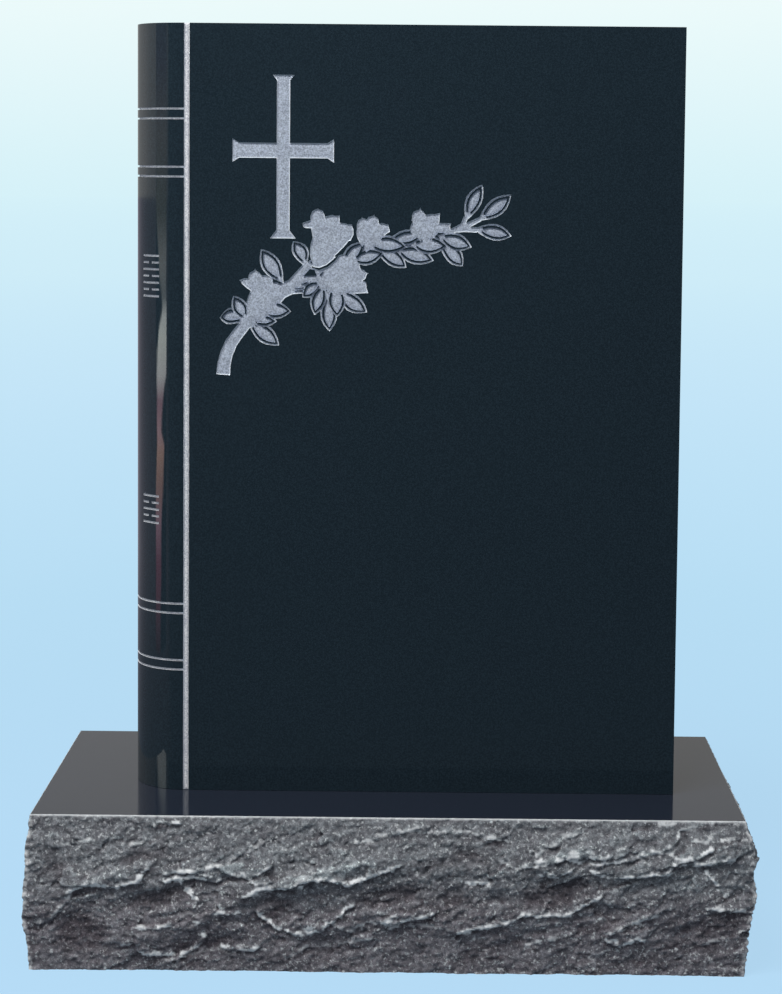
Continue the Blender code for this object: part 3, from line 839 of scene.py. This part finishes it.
def long_outlines(edges):
    """The edges of the outlines that reach further than a leaf, without those round its polished line."""
    left = dict.fromkeys(edges)
    found = []
    while left:
        run = [next(iter(left))]
        del left[run[0]]
        for edge in run:
            for other in [other for vert in edge.verts for other in vert.link_edges]:
                if other in left:
                    del left[other]
                    run.append(other)
        along = [vert.co.x for edge in run for vert in edge.verts]
        up = [vert.co.z for edge in run for vert in edge.verts]
        if max(max(along) - min(along), max(up) - min(up)) > LEAF_REACH:
            found += run
    return found


def walls_tree(edges, floor_set):
    """A tree of the walls that rise from these edges of the floor."""
    return faces_tree([face for edge in edges for face in edge.link_faces if face not in floor_set])


def fill_floor(shape, rim_layer):
    """Lays a fine net over the sunk floor of the face, low at its walls and a little swollen between them."""
    old = [face for face in shape.faces if not is_end(face) and lies_at(face, sunk_y)]
    rim_edges = border_edges(old)
    wall_tree = walls_tree(rim_edges, set(old))
    outline_tree = walls_tree(long_outlines(rim_edges), set(old))
    old_tree = faces_tree(old)
    bmesh.ops.delete(shape, geom=old, context="FACES_KEEP_BOUNDARY")
    rims = ends_of(rim_edges)
    points, edges = flat_outline(rims, rim_edges)
    row_step = CARVE_STEP * math.sqrt(3) / 2
    rows = int((tablet_high.z - tablet_low.z) / row_step)
    columns = int((tablet_high.x - joint_x) / CARVE_STEP)
    for row in range(1, rows):
        for column in range(columns):
            x = joint_x + (column + 0.5 * (row % 2)) * CARVE_STEP
            place = Vector((x, sunk_y, tablet_low.z + row * row_step))
            if not lies_over(old_tree, Vector((place.x, place.z))):
                continue
            if wall_tree.find_nearest(place)[3] > CARVE_STEP * WALL_GAP:
                points.append(Vector((place.x, place.z)))
    cut_points, _, triangles, owners = delaunay_2d_cdt(points, edges, [], 0, CUT_TOLERANCE)[:4]
    made = {index: rims[own[0]] for index, own in enumerate(owners) if own and own[0] < len(rims)}
    for triangle in triangles:
        if not lies_over(old_tree, middle_of(triangle, cut_points)):
            continue
        for index in triangle:
            if index not in made:
                point = cut_points[index]
                gap = wall_tree.find_nearest(Vector((point.x, sunk_y, point.y)))[3]
                swell = DOME * min(gap / DOME_REACH, 1) ** 0.5
                roughness = BLASTED_HEIGHT * noise.noise(Vector((point.x, point.y, 0)) / BLASTED_GRAIN)
                made[index] = shape.verts.new((point.x, sunk_y - swell + roughness, point.y))
        shape.faces.new([made[index] for index in triangle])
    # Each point's distance in millimetres from the long outlines, along which the frosted finish paints light
    for vert in shape.verts:
        vert[rim_layer] = outline_tree.find_nearest(vert.co)[3] * 1000


def book_mesh():
    """The solid's own skin, with its spine brought to a true round and its carving finely worked."""
    shape = bmesh.new()
    shape.from_mesh(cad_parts["tablet"].data)
    bmesh.ops.remove_doubles(shape, verts=shape.verts, dist=SAME_PLACE)
    rim_layer = shape.verts.layers.float.new("rim")
    round_spine(shape)
    bmesh.ops.remove_doubles(shape, verts=shape.verts, dist=CUT_TOLERANCE)
    bmesh.ops.triangulate(shape, faces=shape.faces)
    sharpen_petals(shape)
    fill_floor(shape, rim_layer)
    bmesh.ops.recalc_face_normals(shape, faces=shape.faces)
    for face in shape.faces:
        if is_carved(face):
            face.material_index = 2 if face.calc_center_median().x < face_from else 1
    return finished_mesh("book_tablet", shape)


def shape_normals(mesh):
    """The spine's own roundness given to its faces, while every other face stays flat."""
    normals = []
    for face in mesh.polygons:
        face.use_smooth = True
        centre = face.center
        out = Vector((centre.x - joint_x, centre.y - spine_y, 0)).normalized()
        is_round = centre.x < joint_x and abs(face.normal.dot(out)) > ROUND_LIMIT
        for corner in face.vertices:
            place = mesh.vertices[corner].co
            if is_round:
                normals.append(Vector((place.x - joint_x, place.y - spine_y, 0)).normalized())
            else:
                normals.append(face.normal.copy())
    mesh.normals_split_custom_set(normals)


POLISHED_FACE = ((0.0115, 0.0203, 0.0281), (0.0188, 0.0325, 0.0444), 0.035)

# Frosted stone: its own colour, the painted light along its outline that brightens the floor where its walls
# shade it, and how many millimetres the outline is wide
FROSTED_CARVING = ((0.43, 0.48, 0.56), (0.82, 0.86, 0.90), 1.5)
FROSTED_LINE = ((0.78, 0.83, 0.90), (0.86, 0.89, 0.94), 1.0)
FROSTED_GRAINS = (0.0016, 0.36, 0.64, 3)
DARKER_GRAINS = 0.66
LIGHTER_GRAINS = 1.34
LIGHTEST_GRAIN = 0.95
FROSTED_CLOUDS = (0.012, 0.3, 0.7, 3)
CLOUD_TINT = (0.84, 0.84, 0.87, 1)
FROSTED_ROUGHNESS = 0.9
FROSTED_INDEX = 1.3
FROSTED_CRYSTALS = {"Scale": 1300, "Detail": 2}
FROSTED_BUMP = {"Strength": 0.5, "Distance": 0.0004}


def frosted_finish(name, colour, outline_light_colour, rim_reach):
    """Blasted granite: pale and grainy, with the crystals left standing as fine pits and points, and painted
    light along the carving's outlines.
    """
    finish, tree, shader = new_finish(name)
    place = add_node(tree, "TexCoord").outputs["Object"]
    grains = add_grains(tree, place, *FROSTED_GRAINS)
    darker = tuple(DARKER_GRAINS * value for value in colour)
    lighter = tuple(min(LIGHTEST_GRAIN, LIGHTER_GRAINS * value) for value in colour)
    body = add_blend(tree, grains, (*darker, 1), (*lighter, 1))
    clouds = add_grains(tree, place, *FROSTED_CLOUDS)
    body = add_blend(tree, clouds, add_blend(tree, 1.0, body, CLOUD_TINT, "MULTIPLY"), body)
    # Painted light: the floor is painted paler near the long outlines, where its walls shade it
    rim = add_node(tree, "Attribute", attribute_name="rim").outputs["Fac"]
    near = add_share(tree, rim, rim_reach, 0.0)
    body = add_blend(tree, near, body, (*outline_light_colour, 1))
    set_surface(tree, shader, body, FROSTED_ROUGHNESS, FROSTED_INDEX)
    set_crystals(tree, shader, place, FROSTED_CRYSTALS, FROSTED_BUMP)
    return finish


tablet_mesh = book_mesh()
tablet_mesh.materials.append(polished_finish("polished_face", *POLISHED_FACE))
tablet_mesh.materials.append(frosted_finish("frosted_carving", *FROSTED_CARVING))
tablet_mesh.materials.append(frosted_finish("frosted_line", *FROSTED_LINE))
shape_normals(tablet_mesh)
tablet = in_scene("book_tablet", tablet_mesh)
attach(tablet, "root")
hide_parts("tablet")


# The floor is a wide pale blue sweep. Near the stone it takes a soft shadow, and further off it passes into
# the colour of the backdrop behind it.

FLOOR_REACH = 45.0
FLOOR_RINGS = (0.4, 0.8, 1.2, 2.0, 3.5, 6.0, 12.0, 24.0, FLOOR_REACH)
FLOOR_SPOKES = 96
FLOOR_COLOURS = (
    (0.5, (0.46, 0.70, 0.905, 1)),
    (2.0, (0.48, 0.73, 0.910, 1)),
    (5.8, (0.55, 0.78, 0.935, 1)),
    (14.0, (0.62, 0.84, 0.94, 1)),
    (FLOOR_REACH, (0.67, 0.88, 0.945, 1)),
)
FLOOR_AWAY = (0.6, 2.6)
FLOOR_GLOW = 0.92
FLOOR_LIT = (0.10, 0.10, 0.10, 1)

# What the polish mirrors of the floor in front, at the foot and beside the stone, and the light it gives back
FLOOR_IN_FRONT = (0.05, 0.075, 0.10, 1)
FLOOR_AT_FOOT = (0.08, 0.115, 0.15, 1)
FLOOR_BESIDE = (0.40, 0.37, 0.44, 1)
FLOOR_BOUNCED = (0.16, 0.20, 0.24, 1)

# Where the front passes into the sides, as the depth of a direction that is one long
BESIDE_BAND = (-0.76, -0.68)


def floor_mesh():
    shape = bmesh.new()
    rings = []
    turns = [2 * math.pi * spoke / FLOOR_SPOKES for spoke in range(FLOOR_SPOKES)]
    for reach in FLOOR_RINGS:
        rings.append([shape.verts.new((reach * math.cos(turn), reach * math.sin(turn), 0)) for turn in turns])
    shape.faces.new(rings[0])
    for inner, outer in zip(rings, rings[1:]):
        for spoke in range(FLOOR_SPOKES):
            after = (spoke + 1) % FLOOR_SPOKES
            shape.faces.new([inner[spoke], outer[spoke], outer[after], inner[after]])
    return finished_mesh("studio_floor", shape)


def set_stops(ramp, stops):
    """Puts the stops on a colour ramp, each a place from 0 to 1 and a colour."""
    while len(ramp.elements) > 1:
        ramp.elements.remove(ramp.elements[-1])
    for index, (position, colour) in enumerate(stops):
        stop = ramp.elements[0] if index == 0 else ramp.elements.new(position)
        stop.position = position
        stop.color = colour


def mix_shaders(tree, share, first, second):
    return add_node(tree, "MixShader", {0: share, 1: first, 2: second}).outputs["Shader"]


def floor_finish():
    """The pale sweep as the camera sees it, and dimmer for what the polish mirrors and for its own light."""
    finish, tree, shader = new_finish("studio_floor")
    tree.nodes.remove(shader)
    place = add_node(tree, "TexCoord").outputs["Object"]
    reach = add_node(tree, "VectorMath", {0: place}, operation="LENGTH").outputs["Value"]
    far = add_node(tree, "Math", {0: reach, 1: 1 / FLOOR_REACH}, operation="MULTIPLY").outputs["Value"]
    root = add_node(tree, "Math", {0: far, 1: 0.5}, operation="POWER").outputs["Value"]
    ramp = add_node(tree, "ValToRGB", {"Fac": root})
    set_stops(ramp.color_ramp, [(math.sqrt(stop / FLOOR_REACH), colour) for stop, colour in FLOOR_COLOURS])
    colour = ramp.outputs["Color"]
    far_glow = add_node(tree, "Emission", {"Color": colour, "Strength": 1.0})
    near_glow = add_node(tree, "Emission", {"Color": colour, "Strength": FLOOR_GLOW})
    lit_colour = add_blend(tree, 1.0, colour, FLOOR_LIT, "MULTIPLY")
    lit = add_node(tree, "BsdfDiffuse", {"Color": lit_colour})
    near = add_node(tree, "AddShader", {0: near_glow.outputs["Emission"], 1: lit.outputs["BSDF"]})
    away = add_share(tree, reach, *FLOOR_AWAY)
    shown = mix_shaders(tree, away, near.outputs["Shader"], far_glow.outputs["Emission"])
    ray = add_node(tree, "LightPath")
    toward = add_node(tree, "VectorMath", {0: place}, operation="NORMALIZE").outputs["Vector"]
    depth = add_node(tree, "SeparateXYZ", {"Vector": toward}).outputs["Y"]
    beside = add_share(tree, depth, *BESIDE_BAND)
    room_side = add_node(tree, "Math", {0: beside, 1: away}, operation="MULTIPLY").outputs["Value"]
    in_front = add_blend(tree, away, FLOOR_AT_FOOT, FLOOR_IN_FRONT)
    mirrored_colour = add_blend(tree, room_side, in_front, FLOOR_BESIDE)
    mirrored = add_node(tree, "Emission", {"Color": mirrored_colour, "Strength": 1.0})
    bounced = add_node(tree, "Emission", {"Color": FLOOR_BOUNCED, "Strength": 1.0})
    hidden = mix_shaders(
        tree, ray.outputs["Is Glossy Ray"], bounced.outputs["Emission"], mirrored.outputs["Emission"]
    )
    mixed = mix_shaders(tree, ray.outputs["Is Camera Ray"], hidden, shown)
    tree.links.new(mixed, tree.nodes["Material Output"].inputs["Surface"])
    return finish


floor_shape = floor_mesh()
floor_shape.materials.append(floor_finish())
floor = in_scene("studio_floor", floor_shape)


# The backdrop is nearly white and cools to pale blue towards the floor. The polish mirrors another room,
# nearly dark in front of the stone, bright at its sides and soft grey behind it.

BACKDROP = (
    (0.4907, (0.67, 0.88, 0.943, 1)),
    (0.5, (0.70, 0.895, 0.945, 1)),
    (0.536, (0.84, 0.96, 0.962, 1)),
    (0.60, (0.92, 0.98, 0.98, 1)),
)
ROOM_SHADE = (0.30, 0.32, 0.35, 1)
ROOM_FRONT = (0.05, 0.08, 0.11, 1)
ROOM_SIDE = (1.10, 1.05, 1.00, 1)
ROOM_BACK = (0.49, 0.49, 0.48, 1)
ROOM_TOP = (0.60, 0.62, 0.66, 1)
BEHIND_BAND = (0.3, 0.8)
TOP_BAND = (0.4, 0.8)

world = bpy.data.worlds.new("studio")
bpy.context.scene.world = world
world.use_nodes = True
tree = world.node_tree
tree.nodes.clear()
way = add_node(tree, "TexCoord").outputs["Generated"]
parts = add_node(tree, "SeparateXYZ", {"Vector": way})
rise = add_share(tree, parts.outputs["Z"], -1.0, 1.0)
backdrop = add_node(tree, "ValToRGB", {"Fac": rise})
set_stops(backdrop.color_ramp, BACKDROP)
beside = add_share(tree, parts.outputs["Y"], *BESIDE_BAND)
behind = add_share(tree, parts.outputs["Y"], *BEHIND_BAND)
room = add_blend(tree, beside, ROOM_FRONT, ROOM_SIDE)
room = add_blend(tree, behind, room, ROOM_BACK)
high = add_share(tree, parts.outputs["Z"], *TOP_BAND)
room = add_blend(tree, high, room, ROOM_TOP)
ray = add_node(tree, "LightPath")
room = add_blend(tree, ray.outputs["Is Glossy Ray"], ROOM_SHADE, room)
seen = add_blend(tree, ray.outputs["Is Camera Ray"], room, backdrop.outputs["Color"])
sky = add_node(tree, "Background", {"Color": seen})
add_node(tree, "OutputWorld", {"Surface": sky.outputs["Background"]})


# One large soft light hangs high in front, a smaller one rakes the split stone from the upper left, and
# a tall warm card at the left is what the spine mirrors as its upright streak.

# Each light's name, place, aim, width, height, power and colour
LIGHTS = (
    ("key_light", (-0.9, -1.6, 3.1), (0, 0, 0.3), 1.6, 1.2, 71, (1.0, 0.985, 0.96)),
    ("rake_light", (-1.6, -1.1, 2.6), (0, -0.15, 0.1), 0.5, 0.5, 22, (1.0, 0.99, 0.97)),
)


def hang_light(name, place, aim, width, height, power, colour):
    lamp = bpy.data.lights.new(name, "AREA")
    lamp.shape = "RECTANGLE"
    lamp.size, lamp.size_y = width, height
    lamp.energy = power
    lamp.color = colour
    hung = in_scene(name, lamp)
    hung.location = place
    hung.rotation_euler = (Vector(aim) - Vector(place)).to_track_quat("-Z", "Y").to_euler()
    hung.visible_camera = False


for light in LIGHTS:
    hang_light(*light)

CARD_PLACE = (-1.49, -0.79)
CARD_TURN = math.atan2(CARD_PLACE[0], -CARD_PLACE[1])
CARD_WIDTH = 0.72
CARD_HEIGHT = 1.15
CARD_LIFT = 0.002
CARD_WOBBLE = 0.16
CARD_CLOUDS = {"Scale": 11, "Detail": 3}
CARD_SOFTNESS = 0.14

# The streak's colour at each height, as a share of the card's
CARD_COLOURS = (
    (0.00, (0.3, 0.12, 0.12, 1)),
    (0.03, (0.6, 0.3, 0.4, 1)),
    (0.09, (1.3, 0.5, 0.7, 1)),
    (0.14, (1.7, 0.6, 0.9, 1)),
    (0.20, (3.3, 1.9, 2.4, 1)),
    (0.26, (3.4, 2.0, 1.7, 1)),
    (0.31, (5.0, 3.1, 2.4, 1)),
    (0.34, (5.4, 3.4, 3.6, 1)),
    (0.39, (3.7, 2.1, 2.6, 1)),
    (0.43, (7.6, 7.7, 7.7, 1)),
    (0.49, (8.6, 9.2, 8.6, 1)),
    (0.52, (8.0, 8.6, 8.4, 1)),
    (0.55, (1.8, 2.0, 2.0, 1)),
    (0.60, (2.5, 2.6, 2.5, 1)),
    (0.68, (0.7, 0.7, 0.5, 1)),
    (0.80, (0.9, 0.8, 0.7, 1)),
    (0.91, (0.4, 0.3, 0.4, 1)),
    (1.00, (0.3, 0.3, 0.4, 1)),
)

# Where the streak's left and right edges lie at each height, as shares of the card's width, in red and green
CARD_EDGES = (
    (0.00, (0.00, 0.45, 0, 1)),
    (0.20, (0.00, 0.55, 0, 1)),
    (0.27, (0.02, 0.70, 0, 1)),
    (0.32, (0.12, 0.82, 0, 1)),
    (0.345, (0.10, 0.50, 0, 1)),
    (0.37, (0.10, 0.55, 0, 1)),
    (0.40, (0.12, 0.72, 0, 1)),
    (0.43, (0.08, 0.98, 0, 1)),
    (0.47, (0.14, 1.00, 0, 1)),
    (0.50, (0.30, 1.00, 0, 1)),
    (0.535, (0.62, 1.00, 0, 1)),
    (0.60, (0.30, 1.00, 0, 1)),
    (0.70, (0.00, 1.00, 0, 1)),
)


def card_mesh():
    shape = bmesh.new()
    corners = ((-1, 0), (1, 0), (1, CARD_HEIGHT), (-1, CARD_HEIGHT))
    shape.faces.new([shape.verts.new((side * CARD_WIDTH / 2, 0, height)) for side, height in corners])
    return finished_mesh("streak_card", shape)


def card_finish():
    """A glow that changes colour with height, inside a ragged outline."""
    finish, tree, shader = new_finish("streak_card")
    tree.nodes.remove(shader)
    place = add_node(tree, "TexCoord").outputs["Object"]
    parts = add_node(tree, "SeparateXYZ", {"Vector": place})
    share = add_share(tree, parts.outputs["Z"], 0.0, CARD_HEIGHT)
    colours = add_node(tree, "ValToRGB", {"Fac": share})
    set_stops(colours.color_ramp, CARD_COLOURS)
    edges = add_node(tree, "ValToRGB", {"Fac": share})
    set_stops(edges.color_ramp, CARD_EDGES)
    sides = add_node(tree, "SeparateColor", {"Color": edges.outputs["Color"]})
    clouds = add_node(tree, "TexNoise", {"Vector": place, **CARD_CLOUDS})
    wobble = add_node(
        tree, "MapRange", {"Value": clouds.outputs["Fac"], "To Min": -CARD_WOBBLE, "To Max": CARD_WOBBLE}
    )
    side = CARD_WIDTH / 2
    across = add_node(tree, "MapRange", {"Value": parts.outputs["X"], "From Min": -side, "From Max": side})
    both = {0: across.outputs["Result"], 1: wobble.outputs["Result"]}
    run = add_node(tree, "Math", both, operation="ADD").outputs["Value"]
    glow = colours.outputs["Color"]
    for first, second in ((run, sides.outputs["Red"]), (sides.outputs["Green"], run)):
        inside = add_node(tree, "Math", {0: first, 1: second}, operation="SUBTRACT")
        shown = add_share(tree, inside.outputs["Value"], -CARD_SOFTNESS / 2, CARD_SOFTNESS / 2)
        glow = add_blend(tree, shown, ROOM_FRONT, glow)
    emission = add_node(tree, "Emission", {"Color": glow, "Strength": 1.0})
    tree.links.new(emission.outputs["Emission"], tree.nodes["Material Output"].inputs["Surface"])
    return finish


card_shape = card_mesh()
card_shape.materials.append(card_finish())
card = in_scene("streak_card", card_shape)
card.location = (*CARD_PLACE, CARD_LIFT)
card.rotation_euler = (0, 0, CARD_TURN)
card.visible_camera = False
card.visible_diffuse = False
card.visible_shadow = False
